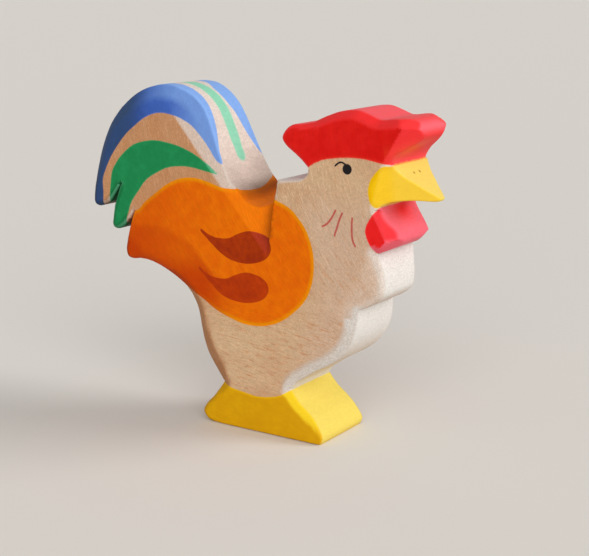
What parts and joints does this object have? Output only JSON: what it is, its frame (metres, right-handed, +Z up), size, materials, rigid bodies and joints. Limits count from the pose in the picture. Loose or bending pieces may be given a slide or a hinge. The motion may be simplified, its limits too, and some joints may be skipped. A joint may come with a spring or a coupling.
{
  "type": "wooden rooster figurine",
  "caption": "Free-standing toy rooster sawn from a hardwood board, bevelled by hand, with stained comb, beak, wattle, wing, tail feathers and foot; stands on its flat sole.",
  "frame": {"origin": "centre of the bounding box's underside, in the plane of the sole", "axes": "+X forward to the beak, +Y across the board to the rooster's left, +Z up"},
  "size_m": [0.1062, 0.022, 0.093],
  "materials": {
    "bare_wood": "fine sanded and oiled, matte",
    "red_stain": "stained, satin",
    "yellow_stain": "stained, satin",
    "orange_stain": "stained, satin",
    "russet_stain": "stained, satin",
    "blue_stain": "stained, satin",
    "green_stain": "stained, satin",
    "black_paint": "painted, satin",
    "brick_paint": "painted, matte"
  },
  "bodies": {
    "root": {"wood_block": "bare_wood", "comb": "red_stain", "beak": "yellow_stain", "wattle": "red_stain", "foot": "yellow_stain", "wing": "orange_stain", "outer_feather_right": "blue_stain", "outer_feather_left": "blue_stain", "inner_feather_right": "green_stain", "inner_feather_left": "green_stain", "tail_stripe": "green_stain", "wing_mark_upper_right": "russet_stain", "wing_mark_upper_left": "russet_stain", "wing_mark_lower_right": "russet_stain", "wing_mark_lower_left": "russet_stain", "eye_right": "black_paint", "eye_left": "black_paint", "neck_stroke_rear_right": "brick_paint", "neck_stroke_rear_left": "brick_paint", "neck_stroke_middle_right": "brick_paint", "neck_stroke_middle_left": "brick_paint", "neck_stroke_front_right": "brick_paint", "neck_stroke_front_left": "brick_paint", "nostril_right": "black_paint", "nostril_left": "black_paint"}
  },
  "joints": []
}
